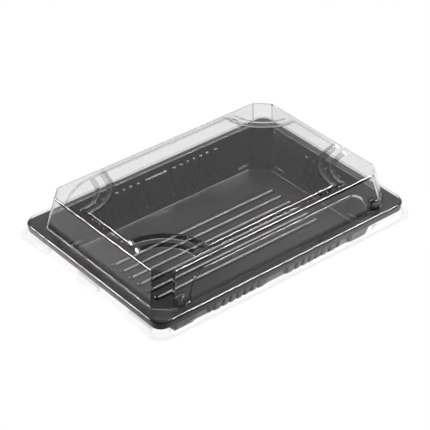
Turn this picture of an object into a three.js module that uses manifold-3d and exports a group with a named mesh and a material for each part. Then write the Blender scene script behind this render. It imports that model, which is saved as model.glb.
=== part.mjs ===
// A closed takeaway sushi pack: a black thermoformed tray under a clear domed lid.
// Units are millimetres. The pack rests on z = 0, its long side runs along x, +z is up.
import * as THREE from "three";
import { mergeVertices } from "three/addons/utils/BufferGeometryUtils.js";
import Module from "manifold-3d";

const wasm = await Module();
wasm.setup();

// ---- driving sizes ---------------------------------------------------------------------
const TRAY_SHEET = 0.5;
const LID_SHEET = 0.5;
const RIM_TOP = 23.8; // top face of the lid's rim
const FIT_GAP = 0.3; // free space between the tray's rim and the lid that sits on it
const CORNER_STEPS = 8;

// Lid
const RIM_HALF = { x: 92.5, y: 63.84 };
const RIM_CORNER = 7.5;
const RIM_EDGE = 1.0;
const SKIRT_FLARE = 0.8;
const FLANGE_TOP = 14.8;
const FLANGE_HALF = { x: 95.7, y: 67.1 };
const FLANGE_CORNER = 9.5;
const DOME_FOOT = { x: 85.75, y: 57.25 };
const DOME_TOP = { x: 81.7, y: 53.18 };
const DOME_CUT = 8.6;
const SHOULDER = 44.02;
const DOME_EDGE = 1.5;
const FOOT_FILLET = 0.45;
const PANEL_TOP = 46.27;
const PANEL_HALF = { x: 76.8, y: 48.31 };
const PANEL_SPREAD = 0.56; // how much wider the panel's step is at its foot
const SCOOP_FOOT = 21.5;
const SCOOP_LEDGE_NEAR = 24.5;
const SCOOP_LEDGE_FAR = 28;
const SCOOP_TOP = 31;
const LEDGE_HEIGHT = 1.1; // of the half-way ledge above the shoulder
const LABEL = { halfTop: 52, halfFoot: 66, top: 39.6, proud: 0.9 };
const LUG = { x: 72, radius: 3.75, reach: 2.3, top: 30.2 }; // on the front wall only
const HOOK = { length: 20, depth: 1.8, top: 18, edge: 16.35, bottom: FLANGE_TOP + 0.1 };
const HOOKS_LONG_SIDE = [-74.5, -26, 26, 74.5];
const HOOKS_SHORT_SIDE = [-46.5, 0, 46.5];

// Tray
const TRAY_TOP = RIM_TOP - LID_SHEET - FIT_GAP;
const TRAY_RIM_HALF = { x: 91.5, y: 62.84 };
const TRAY_SKIRT_FOOT = 18.6;
const OPENING = { x: 86.4, y: 58.4 };
const OPENING_CUT = 11;
const FLOOR_TOP = TRAY_SHEET; // inside face of the foot channel that runs round the floor
// How far the inside surface lies in from the opening's edge at each height: the raised
// floor's edge, the foot channel, the lower wall, its crease and the sloping upper wall.
const WALL = [
  { inset: 16.2, z: FLOOR_TOP + 0.8 },
  { inset: 15.2, z: FLOOR_TOP },
  { inset: 11.6, z: FLOOR_TOP },
  { inset: 10.4, z: FLOOR_TOP + 0.7 },
  { inset: 8.2, z: 5.6 },
  { inset: 0.6, z: 21.8 },
  { inset: 0, z: TRAY_TOP },
];
const FLUTE_DEPTH = 0.3;
const RIDGE = { pitch: 8, count: 6, halfLength: 62, halfWidth: 2.9, height: 2, draft: 0.7 };
// The band pressed out of each wall, and the ribs left standing in it.
const BAND = { foot: 4, top: 22.2, insetFoot: 6.5, insetTop: 0.5 };
const RIB = { foot: 2, top: 18.8, insetFoot: 9.7, insetTop: 3, halfWidth: 1.7, draft: 0.15 };
const LONG_BAND = { half: 48.4, first: 14, pitch: 5.15, count: 6, end: 46.35, panel: 8.7 };
const SHORT_BAND = { half: 16.3, first: 2.65, pitch: 5.3, count: 2, end: 14.3, panel: 0 };
const END_RIB_HALF = 2.0;
const BAY = { foot: 2.4, top: 22, insetFoot: 7.8, insetTop: 0.7, draft: 0.8 };
const LONG_BAY = { at: 64.9, half: 7.4 };
const SHORT_BAY = { at: 33.3, half: 6.0 };

// ---- outlines --------------------------------------------------------------------------
// Points of one corner, from the +x side round to the +y side; each style gives the same count.
const cornerStyles = {
  round: (hx, hy, c, t) => {
    const a = (t * Math.PI) / 2;
    return [hx - c + c * Math.cos(a), hy - c + c * Math.sin(a)];
  },
  cut: (hx, hy, c, t) => [hx - c * t, hy - c * (1 - t)],
  scoop: (hx, hy, c, t) => {
    const a = (-(1 + t) * Math.PI) / 2;
    return [hx + c * Math.cos(a), hy + c * Math.sin(a)];
  },
  fluted: (hx, hy, c, t) => {
    const wave = FLUTE_DEPTH * Math.sin(t * Math.PI) * (t * CORNER_STEPS % 2 < 1 ? 1 : -1);
    return [hx - c * t + wave, hy - c * (1 - t) + wave];
  },
};

// A closed ring at height z: a rectangle of half sizes hx, hy with four like corners.
function ring(style, half, corner, z, steps = CORNER_STEPS) {
  const signs = [[1, 1], [-1, 1], [-1, -1], [1, -1]];
  return signs.flatMap(([sx, sy]) => {
    const points = [];
    for (let i = 0; i <= steps; i += 1) {
      const t = (sx === sy ? i : steps - i) / steps;
      const [x, y] = cornerStyles[style](half.x, half.y, corner, t);
      points.push(new THREE.Vector3(sx * x, sy * y, z));
    }
    return points;
  });
}

const grow = (half, by) => ({ x: half.x + by, y: half.y + by });

// ---- solids ----------------------------------------------------------------------------
// A closed solid through rings of equal count, each end closed by a fan about its middle.
function loft(rings) {
  const count = rings[0].length;
  const positions = rings.flat().flatMap((p) => [p.x, p.y, p.z]);
  const index = [];
  for (let r = 0; r + 1 < rings.length; r += 1) {
    for (let i = 0; i < count; i += 1) {
      const a = r * count + i;
      const b = r * count + ((i + 1) % count);
      index.push(a, b, b + count, a, b + count, a + count);
    }
  }
  const closeEnd = (points, start, flip) => {
    const middle = new THREE.Vector3();
    points.forEach((p) => middle.add(p));
    middle.divideScalar(count);
    const tip = positions.length / 3;
    positions.push(middle.x, middle.y, middle.z);
    for (let i = 0; i < count; i += 1) {
      const a = start + i;
      const b = start + ((i + 1) % count);
      index.push(...(flip ? [tip, b, a] : [tip, a, b]));
    }
  };
  closeEnd(rings[0], 0, true);
  closeEnd(rings.at(-1), (rings.length - 1) * count, false);
  const geometry = new THREE.BufferGeometry();
  geometry.setAttribute("position", new THREE.Float32BufferAttribute(positions, 3));
  geometry.setIndex(index);
  return toManifold(geometry);
}

function toManifold(geometry) {
  const loose = geometry.clone();
  loose.deleteAttribute("normal");
  loose.deleteAttribute("uv");
  const merged = mergeVertices(loose, 1e-5);
  return new wasm.Manifold(new wasm.Mesh({
    numProp: 3,
    vertProperties: new Float32Array(merged.attributes.position.array),
    triVerts: new Uint32Array(merged.index.array),
  }));
}

function toGeometry(manifold) {
  const mesh = manifold.getMesh();
  const geometry = new THREE.BufferGeometry();
  geometry.setAttribute("position", new THREE.Float32BufferAttribute(mesh.vertProperties, 3));
  geometry.setIndex(Array.from(mesh.triVerts));
  geometry.computeVertexNormals();
  return geometry;
}

const placed = (rings, matrix) => rings.map((points) => points.map((p) => p.clone().applyMatrix4(matrix)));
const joinAll = (base, pieces) => pieces.reduce((sum, piece) => sum.add(piece), base);

// The four matrices that turn or mirror nothing but the side a detail sits on.
const facing = {
  back: new THREE.Matrix4(),
  front: new THREE.Matrix4().makeRotationZ(Math.PI),
  right: new THREE.Matrix4().makeRotationZ(-Math.PI / 2),
  left: new THREE.Matrix4().makeRotationZ(Math.PI / 2),
};

// ---- lid -------------------------------------------------------------------------------
// `by` is how far the surface lies inside the outer skin: 0 outside, the sheet inside.
function lidDome(by) {
  const rim = (out, z) => ring("round", grow(RIM_HALF, out - by), RIM_CORNER + out - by, z - by);
  const wall = (half, out, z) => ring("cut", grow(half, out - by), DOME_CUT, z - by);
  return [
    rim(SKIRT_FLARE * 0.3, RIM_TOP - RIM_EDGE),
    rim(-RIM_EDGE * 0.3, RIM_TOP - RIM_EDGE * 0.3),
    rim(-RIM_EDGE, RIM_TOP),
    wall(DOME_FOOT, FOOT_FILLET, RIM_TOP),
    wall(DOME_FOOT, FOOT_FILLET * 0.3, RIM_TOP + FOOT_FILLET * 0.3),
    wall(DOME_FOOT, -0.09, RIM_TOP + FOOT_FILLET),
    wall(DOME_TOP, DOME_EDGE * 0.2, SHOULDER - DOME_EDGE),
    wall(DOME_TOP, -DOME_EDGE * 0.3, SHOULDER - DOME_EDGE * 0.3),
    wall(DOME_TOP, -DOME_EDGE, SHOULDER),
  ];
}

function lidSkirt(by) {
  const foot = (out, z) => ring("round", grow(RIM_HALF, out - by), RIM_CORNER + out - by, z);
  if (by > 0) return [foot(SKIRT_FLARE, FLANGE_TOP - 2)];
  const flange = (z) => ring("round", FLANGE_HALF, FLANGE_CORNER, z);
  return [
    flange(FLANGE_TOP - LID_SHEET),
    flange(FLANGE_TOP),
    foot(SKIRT_FLARE + 0.4, FLANGE_TOP),
    foot(SKIRT_FLARE, FLANGE_TOP + 0.4),
  ];
}

function lidPanel(by) {
  const step = (out, scoop, z) => ring("scoop", grow(PANEL_HALF, out - by), scoop + by, z - by);
  const ledge = SHOULDER + LEDGE_HEIGHT;
  return loft([
    step(PANEL_SPREAD, SCOOP_FOOT, SHOULDER - 1),
    step(PANEL_SPREAD, SCOOP_FOOT, SHOULDER),
    step(PANEL_SPREAD * 0.55, SCOOP_LEDGE_NEAR, ledge - 0.1),
    step(PANEL_SPREAD * 0.5, SCOOP_LEDGE_FAR, ledge + 0.1),
    step(0.25, SCOOP_TOP - 0.25, PANEL_TOP - 0.4),
    step(-0.25, SCOOP_TOP + 0.25, PANEL_TOP),
  ]);
}

// The outer wall of the dome on the long side, as y for a height z.
function domeWallY(z) {
  const rise = (z - RIM_TOP) / (SHOULDER - RIM_TOP);
  return DOME_FOOT.y + (DOME_TOP.y - DOME_FOOT.y) * rise;
}

// A flat label panel with a quarter-ellipse at each end, standing proud of the long wall.
function labelPanel(by, side) {
  const foot = RIM_TOP - 1;
  const steps = 7;
  const outline = (proud, margin) => {
    const points = [];
    const reach = LABEL.halfFoot - LABEL.halfTop - margin;
    const height = LABEL.top - margin - RIM_TOP;
    for (let i = 0; i <= steps; i += 1) {
      const a = (i / steps) * (Math.PI / 2);
      points.push([LABEL.halfTop + reach * Math.cos(a), RIM_TOP + height * Math.sin(a)]);
    }
    const half = [[LABEL.halfTop + reach, foot], ...points];
    const mirrored = half.map(([x, z]) => [-x, z]).reverse();
    return [...half, ...mirrored].map(([x, z]) => {
      const y = proud === null ? DOME_TOP.y - 8 : domeWallY(z) + proud;
      return new THREE.Vector3(x, y, z);
    });
  };
  // Seen from outside the outline runs clockwise, so the rings go from outside in.
  const rings = [
    outline(LABEL.proud - by, by + 0.3),
    outline(LABEL.proud * 0.6 - by, by),
    outline(null, by),
  ];
  return loft(placed(rings.reverse().map((points) => points.reverse()), facing[side]));
}

function lug(by, x, side) {
  const half = { x: LUG.radius - by, y: LUG.reach - by };
  const middle = domeWallY(RIM_TOP + 3);
  const oval = (shrink, z) => {
    const points = [];
    const steps = 16;
    for (let i = 0; i < steps; i += 1) {
      const a = (i / steps) * Math.PI * 2;
      const px = x + (half.x - shrink) * Math.cos(a);
      points.push(new THREE.Vector3(px, middle + (half.y - shrink) * Math.sin(a), z));
    }
    return points;
  };
  const rings = [oval(0, RIM_TOP - 1.5), oval(0, LUG.top - 0.8 - by), oval(0.8, LUG.top - by)];
  return loft(placed(rings, facing[side]));
}

// The notch pressed into the skirt that hooks under the tray's rim; `by` thickens it inwards.
function hook(by, at, side, reach) {
  const section = (end, depth) => {
    const half = HOOK.length / 2 + by;
    const x = at + end * half;
    const lip = 1 + SKIRT_FLARE;
    return [
      [lip, HOOK.top + by],
      [SKIRT_FLARE * 0.5, HOOK.top + by],
      [-depth - by, HOOK.edge + 0.3 + by * 0.62],
      [-depth - by, HOOK.edge - 0.3 - by * 0.62],
      [SKIRT_FLARE - by, HOOK.bottom - by],
      [lip, HOOK.bottom - by],
    ].map(([out, z]) => new THREE.Vector3(x, reach + out, z));
  };
  const rings = [section(-1, 0), section(-0.9, HOOK.depth), section(0.9, HOOK.depth), section(1, 0)];
  return loft(placed(rings, facing[side]));
}

function hooks(by) {
  const longSides = ["back", "front"].flatMap((side) => (
    HOOKS_LONG_SIDE.map((at) => hook(by, at, side, RIM_HALF.y))
  ));
  const shortSides = ["left", "right"].flatMap((side) => (
    HOOKS_SHORT_SIDE.map((at) => hook(by, at, side, RIM_HALF.x))
  ));
  return [...longSides, ...shortSides];
}

function lidSkin(by) {
  const details = [
    lidPanel(by),
    ...["back", "front"].map((side) => labelPanel(by, side)),
    ...[LUG.x, -LUG.x].map((x) => lug(by, x, "front")),
  ];
  const body = joinAll(loft([...lidSkirt(by), ...lidDome(by)]), details);
  return hooks(by).reduce((rest, notch) => rest.subtract(notch), body);
}

function buildLid() {
  return lidSkin(0).subtract(lidSkin(LID_SHEET));
}

// ---- tray ------------------------------------------------------------------------------
// The wall profile pushed outwards by `by`, square to each stretch of it.
function wallProfile(by) {
  const level = { out: 0, down: 1 };
  const upright = { out: 1, down: 0 };
  const square = (a, b) => {
    if (!a) return level;
    if (!b) return upright;
    const length = Math.hypot(b.inset - a.inset, b.z - a.z);
    return { out: (b.z - a.z) / length, down: (a.inset - b.inset) / length };
  };
  return WALL.map((p, i) => {
    const before = square(WALL[i - 1], p);
    const after = square(p, WALL[i + 1]);
    const scale = by / (1 + before.out * after.out + before.down * after.down);
    return {
      inset: p.inset - (before.out + after.out) * scale,
      z: p.z - (before.down + after.down) * scale,
    };
  });
}

// The tray's plain inside as a solid, or its plain outside when `by` is the sheet.
function wallBody(by, top) {
  const cut = OPENING_CUT + by * (2 - Math.SQRT2);
  const profile = wallProfile(by);
  profile.at(-1).z = top;
  return loft(profile.map(({ inset, z }) => ring("fluted", grow(OPENING, -inset), cut, z)));
}

// An upright block across one wall, reaching `inner` to `outer` from the tray's middle.
function wallBlock(side, at, levels, corner) {
  const rings = levels.map(({ half, inner, outer, z }) => {
    const box = { x: half, y: (outer - inner) / 2 };
    const shift = new THREE.Vector3(at, (inner + outer) / 2, 0);
    return ring("round", box, corner, z, 2).map((p) => p.add(shift));
  });
  return loft(placed(rings, facing[side]));
}

// A hollow pressed out through the wall: the long band or a corner bay.
function recess(by, size, side, at, half, depthHalf) {
  const inner = depthHalf - 22;
  const draft = size.draft ?? 0.2;
  return wallBlock(side, at, [
    { half: half - draft - 0.5 + by, inner, outer: depthHalf - size.insetFoot - 0.6 + by, z: size.foot - by },
    { half: half - draft + by, inner, outer: depthHalf - size.insetFoot + by, z: size.foot + 0.6 - by },
    { half: half + by, inner, outer: depthHalf - size.insetTop + by, z: size.top },
  ], 0.6 + by);
}

// A rib left standing in the band, with the small ledge that is its top.
function rib(by, side, at, half, depthHalf) {
  const outer = depthHalf + 3;
  const lean = (RIB.insetFoot - RIB.insetTop) / (RIB.top - RIB.foot);
  const crest = (z) => depthHalf - RIB.insetTop - (RIB.top - z) * lean + by;
  return wallBlock(side, at, [
    { half: half + RIB.draft - by, inner: crest(RIB.foot), outer, z: RIB.foot },
    { half: half - by, inner: crest(RIB.top - 0.5), outer, z: RIB.top - 0.4 - by },
    { half: half - 0.3 - by, inner: crest(RIB.top) + 0.4, outer, z: RIB.top - by },
  ], RIB.halfWidth * 0.8 - by);
}

function bandedWall(by, side, band, bay, depthHalf) {
  const hollow = recess(by, BAND, side, 0, band.half, depthHalf);
  const bays = [-1, 1].map((s) => recess(by, BAY, side, s * bay.at, bay.half, depthHalf));
  const ribs = [-1, 1].flatMap((s) => [
    ...Array.from({ length: band.count }, (_, i) => (
      rib(by, side, s * (band.first + i * band.pitch), RIB.halfWidth, depthHalf)
    )),
    rib(by, side, s * band.end, END_RIB_HALF, depthHalf),
  ]);
  if (band.panel) ribs.push(rib(by, side, 0, band.panel, depthHalf));
  return { hollows: [hollow, ...bays], ribs };
}

// The inside of the tray down to its floor, or its outside when `by` is the sheet.
function traySkin(by, top) {
  const walls = [
    ...["back", "front"].map((side) => bandedWall(by, side, LONG_BAND, LONG_BAY, OPENING.y)),
    ...["left", "right"].map((side) => bandedWall(by, side, SHORT_BAND, SHORT_BAY, OPENING.x)),
  ];
  const opened = joinAll(wallBody(by, top), walls.flatMap((wall) => wall.hollows));
  return walls.flatMap((wall) => wall.ribs).reduce((rest, each) => rest.subtract(each), opened);
}

// The raised floor ridges; `by` thins them to the hollow pressed up from below.
function ridges(by) {
  const floor = FLOOR_TOP + 0.8;
  const solids = [];
  for (let i = 0; i < RIDGE.count; i += 1) {
    const y = (i - (RIDGE.count - 1) / 2) * RIDGE.pitch;
    const level = (shrink, z) => {
      const width = RIDGE.halfWidth - shrink - by;
      const half = { x: RIDGE.halfLength - shrink - by, y: width };
      return ring("round", half, width * 0.98, z, 3).map((p) => p.add(new THREE.Vector3(0, y, 0)));
    };
    const top = floor + RIDGE.height - by;
    solids.push(loft([
      level(0, -0.5),
      level(0, floor - by),
      level(RIDGE.draft, top - 0.4),
      level(RIDGE.draft + 0.5, top),
    ]));
  }
  return solids;
}

function trayRim() {
  const edge = (out, z) => ring("round", grow(TRAY_RIM_HALF, out), RIM_CORNER + out - 1, z);
  const outer = loft([
    edge(0, TRAY_SKIRT_FOOT),
    edge(0, TRAY_TOP - RIM_EDGE),
    edge(-RIM_EDGE * 0.3, TRAY_TOP - RIM_EDGE * 0.3),
    edge(-RIM_EDGE, TRAY_TOP),
  ]);
  const inner = loft([
    edge(-TRAY_SHEET, TRAY_SKIRT_FOOT - 1),
    edge(-TRAY_SHEET, TRAY_TOP - RIM_EDGE - TRAY_SHEET * 0.4),
    edge(-TRAY_SHEET - RIM_EDGE * 0.6, TRAY_TOP - TRAY_SHEET),
  ]);
  return outer.subtract(inner);
}

function buildTray() {
  const outside = traySkin(TRAY_SHEET, TRAY_TOP - 0.2).add(trayRim());
  const inside = ridges(0).reduce((rest, ridge) => rest.subtract(ridge), traySkin(0, TRAY_TOP + 2));
  const shell = outside.subtract(inside);
  return ridges(TRAY_SHEET).reduce((rest, hollow) => rest.subtract(hollow), shell);
}

// ---- the pack --------------------------------------------------------------------------
function named(name, manifold, look) {
  const mesh = new THREE.Mesh(toGeometry(manifold), new THREE.MeshStandardMaterial(look));
  mesh.name = name;
  return mesh;
}

const group = new THREE.Group();
group.name = "sushi_pack";
group.add(named("tray", buildTray(), { color: 0x16171a, roughness: 0.22, metalness: 0 }));
group.add(named("lid", buildLid(), { color: 0xeef2f3, roughness: 0.06, metalness: 0 }));

export default group;
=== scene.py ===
# %% [markdown]
# # A closed sushi pack, built as thin formed sheet
# The real thing is two pieces of formed plastic sheet: a gloss black tray and a clear lid
# that sits over its rim. Both are drawn into moulds, so both are built here the way the
# moulds are: a solid plug for the outside, the same plug one sheet smaller for the inside,
# and the second taken out of the first.

import math

import bmesh
import bpy
from mathutils import Matrix, Vector


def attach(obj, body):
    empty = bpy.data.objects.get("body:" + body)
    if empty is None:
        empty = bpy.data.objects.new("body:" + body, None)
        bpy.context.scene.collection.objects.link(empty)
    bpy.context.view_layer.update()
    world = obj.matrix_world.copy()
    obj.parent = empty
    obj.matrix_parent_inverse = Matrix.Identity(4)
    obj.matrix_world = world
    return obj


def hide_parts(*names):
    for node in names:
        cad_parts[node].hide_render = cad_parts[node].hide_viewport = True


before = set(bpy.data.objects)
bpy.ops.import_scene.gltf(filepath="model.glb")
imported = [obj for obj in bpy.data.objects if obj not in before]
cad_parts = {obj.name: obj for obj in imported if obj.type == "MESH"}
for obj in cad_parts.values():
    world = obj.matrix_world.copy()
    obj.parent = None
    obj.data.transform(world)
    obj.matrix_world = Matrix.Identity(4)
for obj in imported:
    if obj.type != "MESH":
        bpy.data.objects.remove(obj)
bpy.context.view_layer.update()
MM = 0.001

# %% [markdown]
# ## Small hand tools
# Each helper is one thing that a modeller does with the mouse. Writing them once keeps every
# later cell short. These add a flat blank at its place, put that place into its mesh, and
# open and close a piece for editing.

# %% Add and open a piece
def only(thing):
    """Selects one object and makes it the active one."""
    bpy.ops.object.select_all(action="DESELECT")
    thing.select_set(True)
    bpy.context.view_layer.objects.active = thing
    return thing


def settle(name):
    """Names the newest object and puts its place, turn and size into its mesh."""
    thing = bpy.context.active_object
    thing.name = thing.data.name = name
    only(thing)
    bpy.ops.object.transform_apply(location=True, rotation=True, scale=True)
    return thing


def blank(name, half, z):
    """A flat rectangle at height z, ready to have its corners worked."""
    bpy.ops.object.select_all(action="DESELECT")
    bpy.ops.mesh.primitive_plane_add(size=2, location=(0, 0, z * MM))
    bpy.context.active_object.scale = (half[0] * MM, half[1] * MM, 1)
    return settle(name)


def edit(thing):
    """Opens a piece in edit mode with nothing selected."""
    only(thing)
    bpy.ops.object.mode_set(mode="EDIT")
    bpy.ops.mesh.select_mode(type="VERT")
    bpy.ops.mesh.select_all(action="DESELECT")


def done():
    """Closes edit mode."""
    bpy.ops.object.mode_set(mode="OBJECT")


# %% [markdown]
# ## Stepping a face up and in
# Formed sheet has draft, so each level of a plug is a little smaller than the one below. An
# inset would shrink the corners as well. Here each quarter of the new face is moved in
# whole, so a corner keeps its size from foot to top. A rounded edge is a few such steps
# that turn from upright to flat.

# %% Step, round and corner
def step(thing, inward, up):
    """Extrudes the picked face by `up` and draws its four sides in by `inward`."""
    bpy.ops.mesh.extrude_region_move(TRANSFORM_OT_translate={"value": (0, 0, up * MM)})
    if not inward:
        return
    bpy.ops.mesh.select_mode(type="VERT")
    shape = bmesh.from_edit_mesh(thing.data)
    ring = [v.index for v in shape.verts if v.select]
    for sx in (-1, 1):
        for sy in (-1, 1):
            shape = bmesh.from_edit_mesh(thing.data)
            shape.verts.ensure_lookup_table()
            for i in ring:
                v = shape.verts[i]
                v.select_set(v.co.x * sx > 0 and v.co.y * sy > 0)
            shape.select_flush_mode()
            move = (-sx * inward * MM, -sy * inward * MM, 0)
            bpy.ops.transform.translate(value=move)
    shape = bmesh.from_edit_mesh(thing.data)
    shape.verts.ensure_lookup_table()
    for i in ring:
        shape.verts[i].select_set(True)
    shape.select_flush_mode()


def arc(radius, start, end, facets):
    """Steps along a round of this radius, as the slope turns from `start` to `end` degrees
    (90 climbs straight up, 0 runs straight in)."""
    angles = [math.radians(start + (end - start) * i / facets) for i in range(facets + 1)]
    return [
        (radius * abs(math.sin(b) - math.sin(a)), radius * abs(math.cos(b) - math.cos(a)))
        for a, b in zip(angles, angles[1:])
    ]


def climb(thing, steps, sign=1):
    """Takes several steps, upwards or, with a sign of -1, downwards."""
    for inward, up in steps:
        step(thing, inward, up * sign)


def corners(leg, facets):
    """Works the corners of a flat blank: one facet cuts them off, more round them."""
    bpy.ops.mesh.select_all(action="SELECT")
    bpy.ops.mesh.bevel(offset=leg * MM, offset_type="OFFSET", affect="VERTICES", segments=facets)


quarter = arc(1, 90, 0, facets=3)
print("a 1 mm round in three steps, (in, up):", [(round(i, 2), round(u, 2)) for i, u in quarter])

# %% [markdown]
# ## The lid's rim and skirt
# The clear lid covers the tray's rim like a shallow cap: a flat top, a rounded edge, a
# skirt that flares a little and a flange turned out along the bottom. It could be a swept
# profile. Stepping one face up and in does the same and keeps the corners clean.

# %% Rim plug
SHEET = 0.5
RIM_TOP = 23.8
RIM = (92.5, 63.84)  # half its length and width at the top, before the edge is rounded
FLANGE = (95.7, 67.1)
FLANGE_TOP = 14.8
FLANGE_ROUND = 0.4  # where the flange turns up into the skirt
FLANGE_CORNER, SKIRT_CORNER = 9.5, 8.2
FLARE = 0.8  # how much wider the skirt is at its foot
EDGE = 1.0
EDGE_FACETS = 5
EDGE_FLARE = 0.2  # the part of the flare that the rounded edge takes up
ROUND = 10  # facets round a corner
CLEAR_BELOW = 2  # how far the inside reaches out below the flange, to cut it open


def grown(half, by):
    """Half sizes made larger all round."""
    return (half[0] + by, half[1] + by)


def rim_plug(by):
    """The cap over the rim; `by` is how far inside the outer face the plug lies."""
    if by:
        plug = blank("rim_inside", grown(RIM, FLARE - by), FLANGE_TOP - CLEAR_BELOW)
        corner, to_skirt = SKIRT_CORNER - by, [(0, CLEAR_BELOW + FLANGE_ROUND)]
    else:
        plug = blank("rim_outside", FLANGE, FLANGE_TOP - SHEET)
        corner = FLANGE_CORNER
        out = FLANGE[0] - RIM[0] - FLARE
        to_skirt = [(0, SHEET), (out - FLANGE_ROUND, 0)] + arc(FLANGE_ROUND, 0, 90, facets=3)
    edit(plug)
    corners(corner, ROUND)
    climb(plug, to_skirt)
    radius = EDGE - by
    wall = RIM_TOP - by - radius - (FLANGE_TOP + FLANGE_ROUND)
    step(plug, FLARE - EDGE_FLARE, wall)
    edge = arc(radius, 90, 0, EDGE_FACETS)
    climb(plug, [(i + EDGE_FLARE / EDGE_FACETS, u) for i, u in edge])
    done()
    return plug


print("rim:", RIM_TOP, "mm high, skirt", round(RIM_TOP - FLANGE_TOP, 2), "mm tall")

# %% [markdown]
# ## The dome
# Above the rim stands a dome with cut corners. Its wall rises from a small round at its
# foot to a rounded shoulder. The corners are cut on the flat blank, so each later step
# carries them up.

# %% Dome plug
DOME_FOOT = (85.75, 57.25)
DOME_TOP = (81.7, 53.18)
DOME_CUT = 8.6  # leg of a cut corner
CUT_ROUND = 0.7  # rounding of a cut corner's two upright edges
SHOULDER = 44.02
DOME_ROUND = 1.5
FOOT_ROUND = 0.45
DOME_ROOT = 0.6  # how far inside the rim the plug starts
LEAN = math.degrees(math.atan2(DOME_FOOT[0] - DOME_TOP[0], SHOULDER - RIM_TOP))


def dome_plug(by):
    """The dome from inside the rim to its flat shoulder."""
    foot_steps = arc(FOOT_ROUND + by, 0, 90 - LEAN, facets=5)
    top_steps = arc(DOME_ROUND - by, 90 - LEAN, 0, facets=6)
    spread = sum(i for i, u in foot_steps)
    rise = sum(u for i, u in foot_steps)
    slope = math.tan(math.radians(LEAN))
    start = grown(DOME_FOOT, spread - rise * slope - by)
    plug = blank("dome", start, RIM_TOP - by - DOME_ROOT)
    edit(plug)
    corners(DOME_CUT, 1)
    corners(CUT_ROUND, 3)
    step(plug, 0, DOME_ROOT)
    climb(plug, foot_steps)
    wall = SHOULDER - RIM_TOP - rise - sum(u for i, u in top_steps)
    step(plug, wall * slope, wall)
    climb(plug, top_steps)
    done()
    return plug


print("dome wall leans in", round(LEAN, 1), "degrees")

# %% [markdown]
# ## Picking, cutting and copying
# With no mouse, a face or an edge is picked by where it lies and which way it faces. A
# number from a list would work too, but it changes whenever the mesh does. Solids are joined
# or cut with a Boolean modifier that is applied at once, and each copy of a repeated shape
# gets a mesh of its own.

# %% Pick, combine and turn
def pick(thing, kind, test):
    """Selects the vertices, edges or faces that pass a test on their middle and normal."""
    modes = {"verts": "VERT", "edges": "EDGE", "faces": "FACE"}
    bpy.ops.mesh.select_mode(type=modes[kind])
    bpy.ops.mesh.select_all(action="DESELECT")
    shape = bmesh.from_edit_mesh(thing.data)
    for part in getattr(shape, kind):
        if kind == "verts":
            middle, normal = part.co, part.normal
        elif kind == "edges":
            middle = (part.verts[0].co + part.verts[1].co) / 2
            normal = (part.verts[1].co - part.verts[0].co).normalized()
        else:
            middle, normal = part.calc_center_median(), part.normal
        if test(middle / MM, normal):
            part.select_set(True)
    shape.select_flush_mode()
    bmesh.update_edit_mesh(thing.data)


def combine(body, others, how):
    """Joins other solids to a body or cuts them out of it, and clears them away."""
    for other in others:
        only(body)
        tool = body.modifiers.new("cut", "BOOLEAN")
        tool.operation = how
        tool.solver = "MANIFOLD"
        tool.object = other
        bpy.ops.object.modifier_apply(modifier=tool.name)
        bpy.data.meshes.remove(other.data)
    return body


def turned(thing, quarters, shift=(0, 0, 0)):
    """A copy with its own mesh, moved by `shift` and then turned by quarter turns."""
    bpy.ops.object.select_all(action="DESELECT")
    copy = bpy.data.objects.new(thing.name + "_copy", thing.data.copy())
    bpy.context.collection.objects.link(copy)
    copy.matrix_world = (
        Matrix.Rotation(math.radians(90 * quarters), 4, "Z")
        @ Matrix.Translation(Vector(shift) * MM)
    )
    only(copy)
    bpy.ops.object.transform_apply(location=True, rotation=True, scale=True)
    return copy


# %% [markdown]
# ## The scoops of the top panel
# Each corner of the raised top panel is scooped out in a wide arc that climbs in two shallow
# slopes with a ledge between. A turned cutter makes it, built ring by ring like a pot on a
# lathe. Cutting the arcs by hand in the panel's outline would leave nowhere for the ledge.

# %% Scoop cutter
PANEL_TOP = 46.27
LEDGE = SHOULDER + 1.1
# Distance from the scoop's middle, height and rounding of each point of its slope.
SCOOP_PROFILE = ((10, SHOULDER, 0), (21.5, SHOULDER, 0.5), (24.2, LEDGE - 0.1, 0.8),
                 (28, LEDGE + 0.1, 0.8), (31, PANEL_TOP, 0), (34, PANEL_TOP + 1.15, 0))
SCOOP_WIDER, SCOOP_LOWER = 0.35, 0.94  # for each millimetre into the sheet
SCOOP_FACETS = 144
SIDE_SHARE = 0.45  # a rounding takes no more than this of a side
HAIR = 0.01  # too small to see


def rounded(profile, facets=4):
    """The points of a profile with each corner rounded to its own radius."""
    points = [Vector((r, z)) for r, z, radius in profile]
    made = []
    for i, (r, z, radius) in enumerate(profile):
        if not radius:
            made.append(points[i])
            continue
        back, ahead = points[i - 1] - points[i], points[i + 1] - points[i]
        half_angle = back.angle(ahead) / 2
        most = min(back.length * SIDE_SHARE, ahead.length * SIDE_SHARE)
        cut = min(radius / math.tan(half_angle), most)
        a, b = points[i] + back.normalized() * cut, points[i] + ahead.normalized() * cut
        for k in range(facets + 1):
            t = k / facets
            made.append(a.lerp(points[i], t).lerp(points[i].lerp(b, t), t))
    return made


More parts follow.
